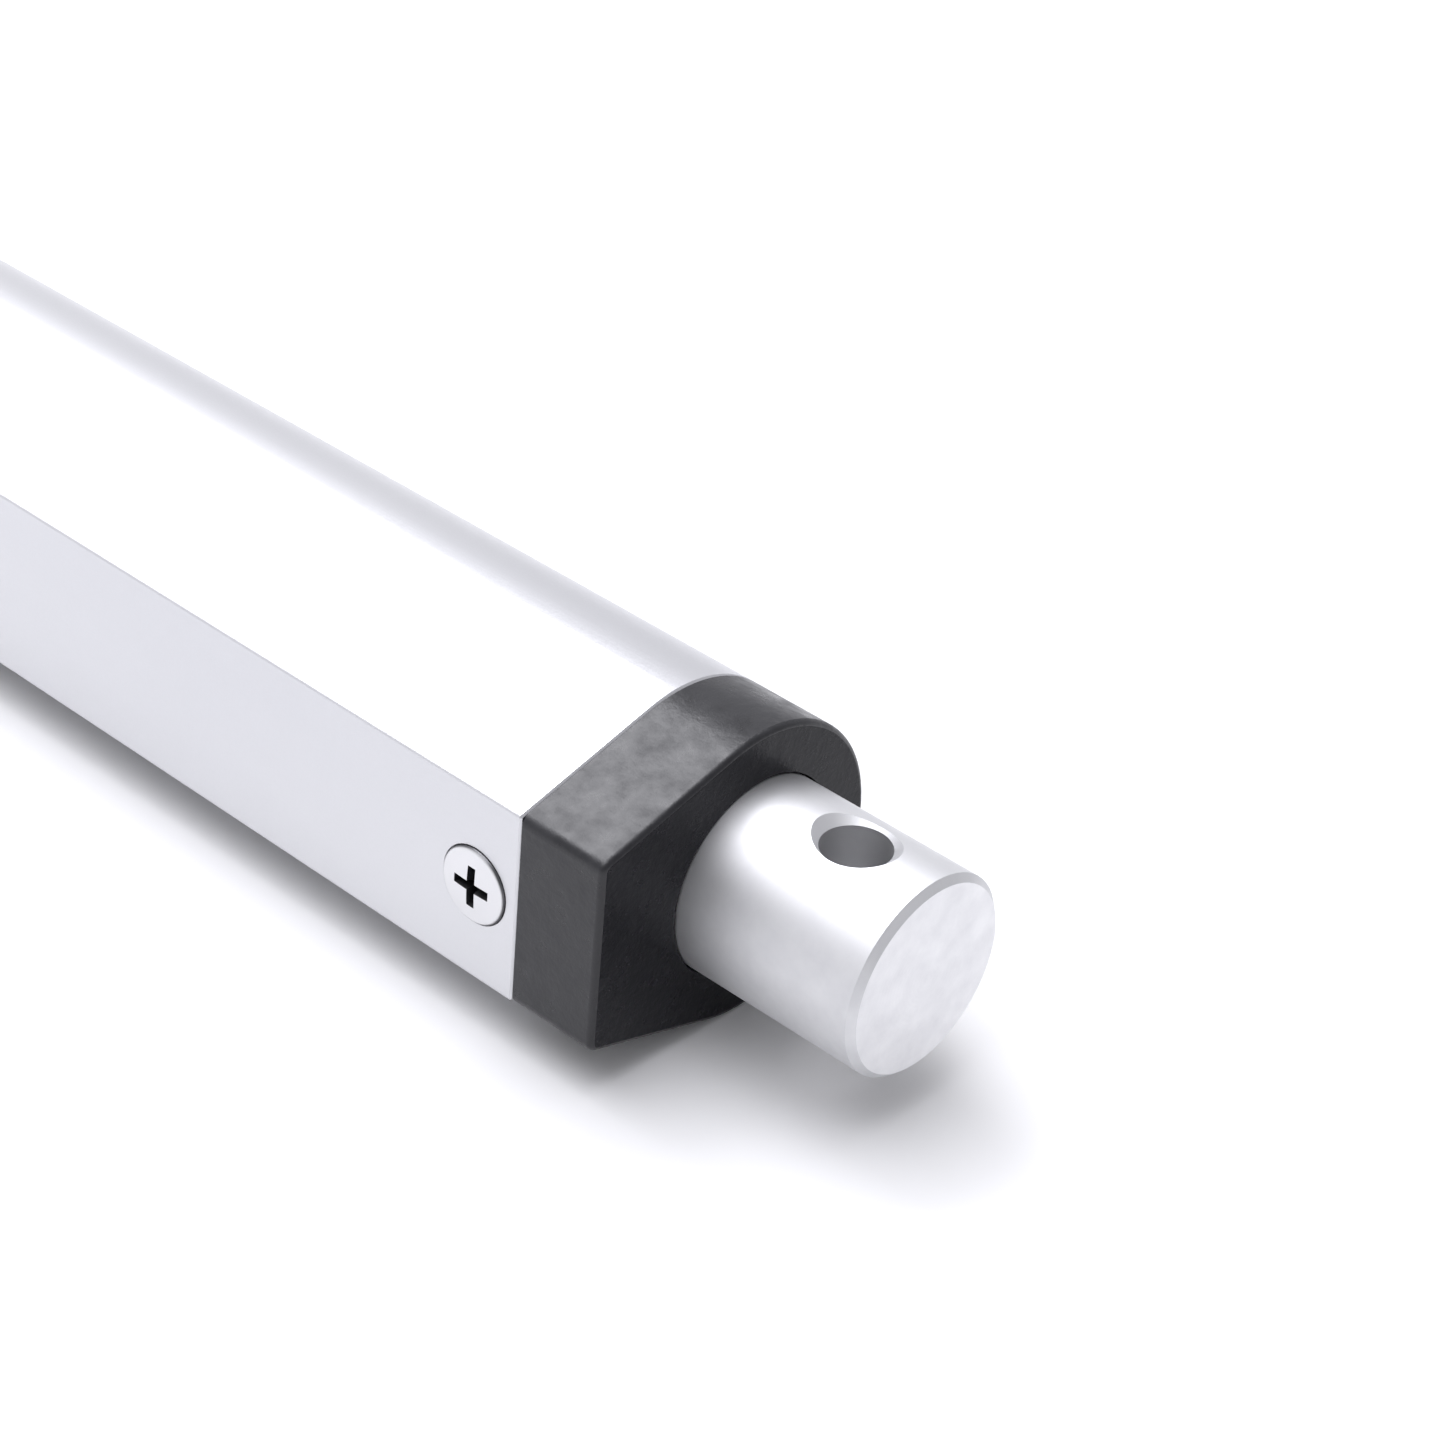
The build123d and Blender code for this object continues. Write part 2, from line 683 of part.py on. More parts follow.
commutator_bore = shaft_radius + 0.4
with BuildPart() as commutator:
    with BuildSketch(Plane.YZ.offset(commutator_rear)):
        Circle(commutator_radius)
        Circle(commutator_bore, mode=Mode.SUBTRACT)
        with PolarLocations(commutator_radius, pole_count, start_angle=180 / pole_count):
            Rectangle(2 * commutator_radius, segment_gap, mode=Mode.SUBTRACT)
    extrude(amount=commutator_length)
save(commutator, "commutator")

with BuildPart() as commutator_hub:
    ring(commutator_rear, commutator_length, commutator_bore, shaft_radius + press_gap)
save(commutator_hub, "commutator_hub")

# ---------------------------------------------------------------- gearbox
carrier_radius = ring_radius - addendum - 0.25
sun_bore = shaft_radius + press_gap

with BuildPart() as ring_gear:
    with BuildSketch(Plane.YZ.offset(motor_front + face_gap)):
        Circle(motor_radius)
        ring_teeth = round(2 * ring_radius / gear_module)
        draw_gear(ring_teeth, ring_radius + dedendum, ring_radius - addendum,
                  -tooth_thinning, Mode.SUBTRACT)
    extrude(amount=gearbox_length - face_gap)
save(ring_gear, "ring_gear")

with BuildPart() as first_sun_gear:
    with BuildSketch(Plane.YZ.offset(first_planet_rear)):
        draw_gear(sun_teeth, sun_radius + addendum, sun_radius - dedendum, tooth_thinning)
        Circle(sun_bore, mode=Mode.SUBTRACT)
    extrude(amount=gear_width)
save(first_sun_gear, "first_sun_gear")

with BuildPart() as first_carrier:
    rod_about_axis(first_carrier_rear, carrier_thickness, carrier_radius)
    for angle in planet_angles:
        with BuildSketch(across(first_carrier_rear, planet_orbit, angle)):
            Circle(planet_pin_radius)
        extrude(amount=carrier_thickness, mode=Mode.SUBTRACT)
    rod_about_axis(first_carrier_rear, carrier_thickness, sun_bore, Mode.SUBTRACT)
save(first_carrier, "first_carrier")

with BuildPart() as second_sun_gear:
    with BuildSketch(Plane.YZ.offset(second_planet_rear)):
        draw_gear(sun_teeth, sun_radius + addendum, sun_radius - dedendum, tooth_thinning)
    extrude(amount=gear_width)
    rod_about_axis(first_carrier_rear + stage_gap, second_planet_rear - first_carrier_rear, shaft_radius)
save(second_sun_gear, "second_sun_gear")

with BuildPart() as second_carrier:
    rod_about_axis(second_carrier_rear, carrier_thickness, carrier_radius)
    for angle in planet_angles:
        with BuildSketch(across(second_carrier_rear, planet_orbit, angle)):
            Circle(planet_pin_radius)
        extrude(amount=carrier_thickness, mode=Mode.SUBTRACT)
    # Output shaft, with a cross hole for the coupling pin
    rod_about_axis(second_carrier_rear + carrier_thickness,
                   collar_front - side_gap - second_carrier_rear - carrier_thickness,
                   output_shaft_radius)
    coupling_x = race_front + collar_length / 2
    with BuildSketch(Plane.XY.offset(-3 * thread_radius)):
        with Locations((coupling_x, 0)):
            Circle(coupling_pin_radius)
    extrude(amount=6 * thread_radius, mode=Mode.SUBTRACT)
save(second_carrier, "second_carrier")

stages = (
    ("first", first_planet_rear, first_carrier_rear),
    ("second", second_planet_rear, second_carrier_rear),
)
for stage, planet_rear, carrier_rear in stages:
    with BuildPart() as planet_pins:
        for angle in planet_angles:
            with BuildSketch(across(planet_rear - side_gap, planet_orbit, angle)):
                Circle(planet_pin_radius)
            extrude(amount=carrier_rear + carrier_thickness - planet_rear + side_gap)
    save(planet_pins, f"{stage}_planet_pins")
    for number, angle in enumerate(planet_angles, start=1):
        with BuildPart() as planet:
            with BuildSketch(across(planet_rear, planet_orbit, angle)):
                draw_gear(planet_teeth, planet_radius + addendum, planet_radius - dedendum,
                          tooth_thinning)
                Circle(planet_pin_radius + running_gap, mode=Mode.SUBTRACT)
            extrude(amount=gear_width)
        save(planet, f"{stage}_planet_{number}")

with BuildPart() as gearbox_end_plate:
    ring(gearbox_front + face_gap, end_plate_thickness - face_gap, motor_radius, plate_bore_radius)
    chamfer(gearbox_end_plate.edges().group_by(Axis.X)[-1].sort_by(SortBy.LENGTH)[-1], 0.3)
save(gearbox_end_plate, "gearbox_end_plate")

with BuildPart() as output_shaft_bush:
    ring(gearbox_front + face_gap, end_plate_thickness - face_gap, plate_bore_radius - seat_gap,
         output_shaft_radius + running_gap)
save(output_shaft_bush, "output_shaft_bush")

# ---------------------------------------------------------------- bearing and lead screw
race_middle = (race_rear + race_front) / 2
ball_orbit = (race_inner_radius + race_outer_radius) / 2
groove_radius = ball_radius + 0.06
race_wall = 0.75

with BuildPart() as bearing_holder:
    with BuildSketch(Plane.YZ.offset(holder_rear)):
        draw_section(spigot_inset)
    extrude(amount=holder_front - holder_rear)
    rod_about_axis(holder_rear, race_front - holder_rear, race_outer_radius + seat_gap,
                   Mode.SUBTRACT)
    rod_about_axis(holder_rear, holder_front - holder_rear, collar_radius + 0.6, Mode.SUBTRACT)
    # Slot that holds the board's end, and the way past it for the motor's leads
    with BuildSketch(Plane.YZ.offset(holder_front - board_slot - slot_gap)):
        with Locations((board_middle_y, 0)):
            Rectangle(board_thickness + 2 * slot_gap, 2 * (board_half_width + slot_gap))
    extrude(amount=board_slot + 2 * slot_gap, mode=Mode.SUBTRACT)
    with BuildSketch(Plane.YZ.offset(holder_rear)):
        with Locations((board_inner_y + 1.0, 0)):
            Rectangle(1.8, 5.0)
    extrude(amount=holder_front - holder_rear, mode=Mode.SUBTRACT)
save(bearing_holder, "bearing_holder")


def ball_plane(number):
    """Return the plane at a ball's centre."""
    return across(race_middle, ball_orbit, 2 * pi * number / ball_count)


def cut_ball_groove(radius):
    """Cut the groove that the balls run in from the race being built."""
    with BuildSketch(Plane.XY) as groove:
        with Locations((race_middle, ball_orbit)):
            Circle(radius)
    revolve(groove.sketch, axis=Axis.X, mode=Mode.SUBTRACT)


with BuildPart() as bearing_outer_race:
    ring(race_rear, race_width, race_outer_radius, race_outer_radius - race_wall)
    cut_ball_groove(groove_radius)
save(bearing_outer_race, "bearing_outer_race")

with BuildPart() as bearing_inner_race:
    ring(race_rear, race_width, race_inner_radius + race_wall, race_inner_radius)
    cut_ball_groove(groove_radius)
save(bearing_inner_race, "bearing_inner_race")

with BuildPart() as bearing_balls:
    for number in range(ball_count):
        with Locations(ball_plane(number)):
            Sphere(ball_radius)
save(bearing_balls, "bearing_balls")

with BuildPart() as bearing_cage:
    ring(race_middle - 1.3, 2.6, ball_orbit + 0.3, ball_orbit - 0.3)
    for number in range(ball_count):
        angle = 2 * pi * number / ball_count
        pocket = Plane(origin=(race_middle, 0, 0), z_dir=(0, cos(angle), sin(angle)))
        with BuildSketch(pocket):
            Circle(ball_radius + 0.1)
        extrude(amount=race_outer_radius, mode=Mode.SUBTRACT)
save(bearing_cage, "bearing_cage")

journal_rear = race_rear - 1.0
with BuildPart() as lead_screw:
    rod_about_axis(journal_rear, race_front - journal_rear, race_inner_radius - press_gap)
    rod_about_axis(race_front, collar_length, collar_radius)
    # Thread: a core with one ridge round it, from sunk in the core out to the crest
    rod_about_axis(collar_front, threaded_length, thread_root_radius + seat_gap)
    chamfer(lead_screw.edges().group_by(Axis.X)[-1], 0.4)
    thread_ridge(
        thread_start,
        threaded_length - 3,
        thread_root_radius - thread_sunk,
        thread_root_half + thread_sunk * thread_flank_slope,
        thread_radius,
        thread_crest_half,
    )
    # Groove for the retaining ring, socket for the gearbox shaft and hole for its pin
    ring_groove_x = race_rear - 0.6
    with BuildSketch(Plane.YZ.offset(ring_groove_x)):
        Circle(race_inner_radius)
        Circle(race_inner_radius - 0.4, mode=Mode.SUBTRACT)
    extrude(amount=0.5, mode=Mode.SUBTRACT)
    rod_about_axis(journal_rear, collar_front - slot_gap - journal_rear,
                   output_shaft_radius + press_gap, Mode.SUBTRACT)
    with BuildSketch(Plane.XY.offset(-2 * collar_radius)):
        with Locations((coupling_x, 0)):
            Circle(coupling_pin_radius)
    extrude(amount=4 * collar_radius, mode=Mode.SUBTRACT)
save(lead_screw, "lead_screw")

with BuildPart() as coupling_pin:
    with BuildSketch(Plane.XY.offset(-(collar_radius - 0.1))):
        with Locations((coupling_x, 0)):
            Circle(coupling_pin_radius - press_gap)
    extrude(amount=2 * (collar_radius - 0.1))
save(coupling_pin, "coupling_pin")

with BuildPart() as retaining_ring:
    with BuildSketch(Plane.YZ.offset(ring_groove_x + 0.05)):
        Circle(race_inner_radius + 0.7)
        Circle(race_inner_radius - 0.38, mode=Mode.SUBTRACT)
        with Locations((race_inner_radius, 0)):
            Rectangle(2.4, 2.0, mode=Mode.SUBTRACT)
    extrude(amount=0.4)
save(retaining_ring, "retaining_ring")

# ---------------------------------------------------------------- sensor board
board_rear = holder_front - board_slot
board_front = front_spigot_end + board_slot
with BuildPart() as sensor_board:
    with BuildSketch(Plane.YZ.offset(board_rear)):
        with Locations((board_middle_y, 0)):
            Rectangle(board_thickness, 2 * board_half_width)
    extrude(amount=board_front - board_rear)
save(sensor_board, "sensor_board")

magnet_x = nut_rear + nut_flange / 2
for name, sensor_x in (("rear_limit_sensor", magnet_x), ("front_limit_sensor", magnet_x + stroke)):
    length, height, width = sensor_size
    with BuildPart() as limit_sensor:
        with BuildSketch(Plane.XZ.offset(-board_inner_y)):
            with Locations((sensor_x, 0)):
                Rectangle(length, width)
        extrude(amount=-height)
        chamfer(limit_sensor.edges().group_by(Axis.Y)[-1], 0.2)
    save(limit_sensor, name)

with BuildPart() as board_diodes:
    with BuildSketch(Plane.XZ.offset(-board_inner_y)):
        with Locations((magnet_x + 12, 2.2), (magnet_x + 12, -2.2)):
            Rectangle(3.6, 1.8)
    extrude(amount=-1.0)
save(board_diodes, "board_diodes")

# ---------------------------------------------------------------- motor leads
lead_radius = 0.4
lead_bend = 1.8
board_pad_x = holder_front + 1.1
for name, side in (("motor_lead_red", 1), ("motor_lead_black", -1)):
    with BuildPart() as motor_lead:
        with BuildLine() as route:
            FilletPolyline(
                (terminal_rear, 0, side * terminal_height),
                (terminal_rear - 4.4, 0, side * terminal_height),
                (motor_rear - 7.6, -9.2, side * 4.6),
                (motor_rear - 2.4, -10.4, side * 4.2),
                (holder_rear - 4.0, -11.2, side * 1.3),
                (board_pad_x, board_inner_y + lead_radius + face_gap, side * 1.2),
                radius=lead_bend,
            )
        with BuildSketch(Plane(origin=route.line @ 0, z_dir=route.line % 0)):
            Circle(lead_radius)
        sweep(path=route.line)
    save(motor_lead, name)
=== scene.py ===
import json
from math import cos, pi, radians, sin

import bpy
from mathutils import Matrix, Vector


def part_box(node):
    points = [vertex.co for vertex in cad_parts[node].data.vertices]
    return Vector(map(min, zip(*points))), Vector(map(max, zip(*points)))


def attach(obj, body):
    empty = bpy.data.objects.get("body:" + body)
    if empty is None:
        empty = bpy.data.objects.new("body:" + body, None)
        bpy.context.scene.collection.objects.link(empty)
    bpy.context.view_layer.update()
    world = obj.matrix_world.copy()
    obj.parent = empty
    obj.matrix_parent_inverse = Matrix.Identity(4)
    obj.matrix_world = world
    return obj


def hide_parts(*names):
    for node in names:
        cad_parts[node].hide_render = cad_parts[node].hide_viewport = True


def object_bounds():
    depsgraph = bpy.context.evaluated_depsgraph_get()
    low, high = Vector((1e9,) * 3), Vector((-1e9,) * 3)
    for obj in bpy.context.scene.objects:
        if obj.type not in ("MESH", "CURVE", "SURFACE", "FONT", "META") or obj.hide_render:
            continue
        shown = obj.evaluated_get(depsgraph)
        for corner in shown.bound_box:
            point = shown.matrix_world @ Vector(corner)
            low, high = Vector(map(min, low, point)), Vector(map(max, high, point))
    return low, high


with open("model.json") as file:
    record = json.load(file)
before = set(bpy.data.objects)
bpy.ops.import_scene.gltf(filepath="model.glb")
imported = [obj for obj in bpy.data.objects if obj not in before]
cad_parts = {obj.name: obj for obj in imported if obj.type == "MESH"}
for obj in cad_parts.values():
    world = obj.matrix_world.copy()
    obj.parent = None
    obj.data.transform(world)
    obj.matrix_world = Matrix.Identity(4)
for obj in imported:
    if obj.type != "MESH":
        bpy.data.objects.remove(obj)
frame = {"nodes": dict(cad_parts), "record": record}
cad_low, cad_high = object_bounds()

# Looks of the mini linear actuator. Metres, in the CAD frame: +X is the way the rod
# extends, +Z is up, the housing's flat side faces -Y, and the round back faces +Y.
scene = bpy.context.scene
scene.view_settings.view_transform = "Standard"
tube_low, tube_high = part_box("housing_tube")
front_cap_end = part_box("front_cap")[1].x
rear_cap_end = tube_low.x - (front_cap_end - tube_high.x)

# ---------------------------------------------------------------- camera
camera_place = (0.2663, -0.1476, 0.1347)
camera_azimuth = radians(39.94)
camera_elevation = radians(32.87)
camera_roll = radians(5.35)
camera_lens = 86.0
camera_sensor = 36.0
camera_near = 0.01
camera_far = 20


def add_camera():
    """Put the camera in front of the rod's end, above it and to its flat side."""
    camera = bpy.data.objects.new("camera", bpy.data.cameras.new("camera"))
    scene.collection.objects.link(camera)
    back = Vector((
        sin(camera_azimuth) * cos(camera_elevation),
        -cos(camera_azimuth) * cos(camera_elevation),
        sin(camera_elevation),
    ))
    aim = back.to_track_quat("Z", "Y").to_matrix() @ Matrix.Rotation(camera_roll, 3, "Z")
    camera.matrix_world = Matrix.Translation(camera_place) @ aim.to_4x4()
    camera.data.lens = camera_lens
    camera.data.sensor_width = camera_sensor
    camera.data.clip_start = camera_near
    camera.data.clip_end = camera_far
    scene.camera = camera


add_camera()

# ---------------------------------------------------------------- shader building
# Noise lies mostly between these two values.
noise_low = 0.3
noise_high = 0.7
# The wave texture turns through this many radians a metre at a scale of 1.
wave_turn = 20
# Rubbed edges: their width, and the cosine of the rounded normal's turn on a full edge.
edge_width = 0.0003
edge_cosine = 0.75
edge_samples = 4
# Dull patches are this many grains across.
metal_patch = 60
moulded_patch = 25
# How much of a metal's roughness follows its patches; its fine grain has the rest.
# Together the two lie mostly between blend_low and blend_high.
patch_share = 0.6
blend_low = 0.25
blend_high = 0.75
# How far roughness goes to either side of a material's own.
roughness_swing = 0.06


class Surface:
    """A material in the making: one Principled shader and the nodes that feed it."""

    def __init__(self, name):
        self.name = name
        self.material = bpy.data.materials.new(name)
        self.material.use_nodes = True
        self.tree = self.material.node_tree
        self.shader = self.tree.nodes["Principled BSDF"]
        self.place = self.tree.nodes.new("ShaderNodeTexCoord").outputs["Object"]

    def set(self, **values):
        """Set sockets of the shader, given with _ for each space, to plain values."""
        for socket, value in values.items():
            self.shader.inputs[socket.replace("_", " ")].default_value = value

    def feed(self, socket, output):
        """Link an output to a socket of the shader."""
        self.tree.links.new(output, self.shader.inputs[socket])

    def node(self, kind, links=None, **settings):
        """Add a node, set its attributes, and link or fill its inputs by name or number."""
        made = self.tree.nodes.new("ShaderNode" + kind)
        for attribute, value in settings.items():
            setattr(made, attribute, value)
        for socket, source in (links or {}).items():
            if isinstance(source, bpy.types.NodeSocket):
                self.tree.links.new(source, made.inputs[socket])
            else:
                made.inputs[socket].default_value = source
        return made

    def stretched(self, stretch):
        """Return the object's coordinates, multiplied along each axis."""
        if stretch == (1, 1, 1):
            return self.place
        mapping = self.node("Mapping", {"Vector": self.place, "Scale": stretch})
        return mapping.outputs["Vector"]

    def noise(self, size, detail=2.0, stretch=(1, 1, 1), rough=0.5):
        """Return noise from 0 to 1 whose patches are about size metres across."""
        made = self.node("TexNoise", {
            "Vector": self.stretched(stretch),
            "Scale": 1 / size,
            "Detail": detail,
            "Roughness": rough,
        })
        return made.outputs["Fac"]

    def specks(self, size):
        """Return the distance to the nearest of random points about size metres apart."""
        made = self.node("TexVoronoi", {"Vector": self.place, "Scale": 1 / size})
        return made.outputs["Distance"]

    def waves(self, pitch, distortion=0.0, **settings):
        """Return smooth bands or rings, as settings say, one every pitch metres."""
        made = self.node("TexWave", {
            "Vector": self.place,
            "Scale": 2 * pi / (wave_turn * pitch),
            "Distortion": distortion,
        }, **settings)
        return made.outputs["Fac"]

    def remap(self, value, low, high, to_low, to_high):
        """Return value, clamped from low to high, moved to the range to_low to to_high."""
        made = self.node("MapRange", {
            "Value": value, "From Min": low, "From Max": high, "To Min": to_low, "To Max": to_high,
        })
        return made.outputs["Result"]

    def spread(self, noise, to_low=0.0, to_high=1.0):
        """Return noise moved from its usual range to the range to_low to to_high."""
        return self.remap(noise, noise_low, noise_high, to_low, to_high)

    def math(self, operation, first, second):
        """Return the result of a math operation on two values or outputs."""
        return self.node("Math", {0: first, 1: second}, operation=operation).outputs["Value"]

    def mix(self, share, first, second):
        """Return the mix of two colours: the first where share is 0, the second where 1."""
        made = self.node("Mix", data_type="RGBA")
        for socket, source in ((0, share), (6, first), (7, second)):
            if isinstance(source, bpy.types.NodeSocket):
                self.tree.links.new(source, made.inputs[socket])
            else:
                made.inputs[socket].default_value = (*source, 1)
        return made.outputs[2]

    def bump(self, height, depth, below=None):
        """Return a normal bumped by height, where the whole of it is depth metres."""
        links = {"Height": height, "Distance": depth, "Strength": 1.0}
        if below is not None:
            links["Normal"] = below
        return self.node("Bump", links).outputs["Normal"]

    def edges(self):
        """Return how far a point is on an edge: 0 on open faces, towards 1 on edges."""
        bevel = self.node("Bevel", {"Radius": edge_width}, samples=edge_samples)
        normal = self.node("NewGeometry").outputs["Normal"]
        turn = self.node("VectorMath", {0: bevel.outputs["Normal"], 1: normal},
                         operation="DOT_PRODUCT").outputs["Value"]
        return self.remap(turn, 1.0, edge_cosine, 0.0, 1.0)

    def facing(self, axis):
        """Return how squarely a face looks along an axis: 1 square to it, 0 edge on."""
        normal = self.tree.nodes.new("ShaderNodeTexCoord").outputs["Normal"]
        along = self.node("SeparateXYZ", {"Vector": normal}).outputs[axis]
        return self.math("ABSOLUTE", along, 0.0)


def darker(colour, share):
    """Return a colour with share of its brightness taken off."""
    return tuple(channel * (1 - share) for channel in colour)


def metal(name, colour, roughness, grain, depth, lay=(1, 1, 1), tint=0.05):
    """A metal with a fine grain, and faint patches where it is duller or darker.

    grain is the grain's size and depth its height; lay draws it out into tool marks.
    """
    surface = Surface(name)
    patches = surface.noise(metal_patch * grain, detail=3)
    fine = surface.noise(grain, detail=2, stretch=lay)
    surface.set(Metallic=1.0)
    surface.feed("Base Color", surface.mix(
        surface.spread(patches), colour, darker(colour, tint)
    ))
    both = surface.math(
        "ADD",
        surface.math("MULTIPLY", patches, patch_share),
        surface.math("MULTIPLY", fine, 1 - patch_share),
    )
    surface.feed("Roughness", surface.remap(
        both, blend_low, blend_high, roughness - roughness_swing, roughness + roughness_swing
    ))
    surface.feed("Normal", surface.bump(fine, depth))
    return surface


def moulded(name, colour, roughness, grain, depth, tint=0.15, edge=0.0):
    """A moulded plastic or rubber with a fine pebbled skin, and lighter rubbed edges."""
    surface = Surface(name)
    patches = surface.noise(moulded_patch * grain, detail=3)
    pebbles = surface.specks(grain)
    shade = surface.mix(surface.spread(patches), colour, darker(colour, tint))
    if edge:
        rubbed = tuple(channel + edge for channel in colour)
        shade = surface.mix(surface.edges(), shade, rubbed)
    surface.feed("Base Color", shade)
    surface.feed("Roughness", surface.spread(
        patches, roughness - roughness_swing, roughness + roughness_swing
    ))
    surface.feed("Normal", surface.bump(pebbles, depth))
    return surface


# ---------------------------------------------------------------- materials of the outside
def anodised_silver():
    """Satin anodised extrusion: bead-blasted grain over faint die lines along its length."""
    surface = Surface("anodised_silver")
    clouds = surface.noise(size=0.02, detail=3, stretch=(0.25, 1, 1))
    grain = surface.noise(size=0.00016, detail=2)
    die_lines = surface.noise(size=0.0007, detail=2, stretch=(0.004, 1, 1))
    surface.set(Metallic=1.0)
    surface.feed("Base Color", surface.mix(
        surface.spread(clouds), (0.64, 0.642, 0.655), (0.6, 0.602, 0.62)
    ))
    surface.feed("Roughness", surface.spread(grain, to_low=0.34, to_high=0.42))
    blasted = surface.bump(grain, depth=0.000004)
    surface.feed("Normal", surface.bump(die_lines, depth=0.000012, below=blasted))
    return surface


def rod_aluminium():
    """Satin rod, turned fine round its side and faced a little brighter on its end."""
    surface = Surface("rod_aluminium")
    mottle = surface.noise(size=0.0022, detail=4, rough=0.6)
    turning = surface.noise(size=0.00012, detail=2, stretch=(1, 0.08, 0.08))
    facing_rings = surface.waves(
        pitch=0.00035, distortion=1.5, wave_type="RINGS", rings_direction="X"
    )
    on_end = surface.remap(surface.facing("X"), low=0.9, high=0.97, to_low=0.0, to_high=1.0)
    patches = surface.spread(mottle)
    side = surface.mix(patches, (0.65, 0.652, 0.66), (0.61, 0.612, 0.625))
    end = surface.mix(patches, (0.79, 0.79, 0.8), (0.72, 0.72, 0.735))
    surface.set(Metallic=1.0)
    surface.feed("Base Color", surface.mix(on_end, side, end))
    surface.feed("Roughness", surface.spread(mottle, to_low=0.5, to_high=0.56))
    turned = surface.bump(turning, depth=0.000003)
    faced = surface.math("MULTIPLY", facing_rings, on_end)
    surface.feed("Normal", surface.bump(faced, depth=0.000002, below=turned))
    return surface


def drilled_aluminium():
    """Bare metal in the rod's pin hole, drilled after the rod was anodised."""
    return metal("drilled_aluminium", (0.9, 0.9, 0.91), roughness=0.34,
                 grain=0.0001, depth=0.000004, lay=(0.2, 0.2, 1))


def moulded_nylon(name, smoothest, roughest):
    """Black glass-filled nylon: mottled, with a fine sparked texture and rubbed edges."""
    surface = Surface(name)
    mottle = surface.noise(size=0.0016, detail=4, rough=0.6)
    pebbles = surface.noise(size=0.00035, detail=3, rough=0.6)
    shade = surface.mix(surface.spread(mottle), (0.0035, 0.0035, 0.0055), (0.006, 0.006, 0.0085))
    surface.feed("Base Color", surface.mix(surface.edges(), shade, (0.016, 0.016, 0.02)))
    surface.feed("Roughness", surface.spread(mottle, smoothest, roughest))
    rippled = surface.bump(mottle, depth=0.00005)
    surface.feed("Normal", surface.bump(pebbles, depth=0.000014, below=rippled))
    return surface


def black_plastic():
    """The nylon of the caps' sides."""
    return moulded_nylon("black_plastic", smoothest=0.25, roughest=0.45)


def black_plastic_end():
    """The nylon of the caps' end faces, which throws back less light than their sides."""
    surface = moulded_nylon("black_plastic_end", smoothest=0.16, roughest=0.34)
    surface.set(Specular_IOR_Level=0.15)
    return surface


def screw_steel():
    """Nickel-plated screw, with painted shade darkening its cross recess, round its head and on
    its head's rim.
    """
    surface = metal("screw_steel", (0.7, 0.7, 0.71), roughness=0.34,
                    grain=0.0001, depth=0.000002, lay=(1, 0.3, 1))
    unshaded_steel = surface.shader.inputs["Base Color"].links[0].from_socket
    # Painted shade: the base colour goes dark where the AO node finds a hollow, and on the rim of
    # the head where its normal turns away from Y.
    open_sky = surface.node("AmbientOcclusion", {"Distance": 0.0012}).outputs["AO"]
    recess_shade = surface.remap(open_sky, low=0.3, high=0.7, to_low=0.35, to_high=0.0)
    rim_shade = surface.remap(surface.facing("Y"), low=0.6, high=0.88, to_low=0.95, to_high=0.0)
    painted_shade = surface.math("MAXIMUM", recess_shade, rim_shade)
    surface.feed("Base Color", surface.mix(painted_shade, unshaded_steel, (0.09, 0.09, 0.095)))
    return surface


# ---------------------------------------------------------------- materials of the inside
def winding_enamel():
    """Copper wire under a clear coat of enamel."""
    surface = metal("winding_enamel", (0.62, 0.25, 0.09), roughness=0.28,
                    grain=0.0002, depth=0.000002)
    surface.set(Coat_Weight=0.8, Coat_Roughness=0.12)
    return surface


def laminations():
    """Stacked sheet steel: one dark joint for each sheet along the armature."""
    steel = (0.42, 0.42, 0.44)
    surface = metal("laminations", steel, roughness=0.42, grain=0.0002, depth=0.000003)
    joints = surface.waves(pitch=0.0005)
    in_joint = surface.remap(joints, low=0.0, high=0.35, to_low=1.0, to_high=0.0)
    surface.feed("Base Color", surface.mix(in_joint, steel, (0.12, 0.12, 0.13)))
    surface.feed("Normal", surface.bump(joints, depth=0.00003))
    return surface


def board_green():
    """Circuit board: green solder mask, with copper tracks that show through it."""
    surface = moulded("board_green", (0.02, 0.16, 0.07), roughness=0.3,
                      grain=0.0004, depth=0.000002)
    tracks = surface.waves(pitch=0.0018, bands_direction="Z")
    under_track = surface.remap(tracks, low=0.45, high=0.55, to_low=0.0, to_high=1.0)
    weave = surface.noise(size=0.0008, detail=2, stretch=(1, 1, 4))
    on_weave = surface.remap(weave, low=0.4, high=0.7, to_low=0.0, to_high=0.3)
    mask = surface.mix(under_track, (0.015, 0.13, 0.05), (0.04, 0.26, 0.11))
    surface.feed("Base Color", surface.mix(on_weave, mask, (0.03, 0.2, 0.1)))
    surface.feed("Normal", surface.bump(under_track, depth=0.00003))
    surface.set(Coat_Weight=0.5, Coat_Roughness=0.15)
    return surface


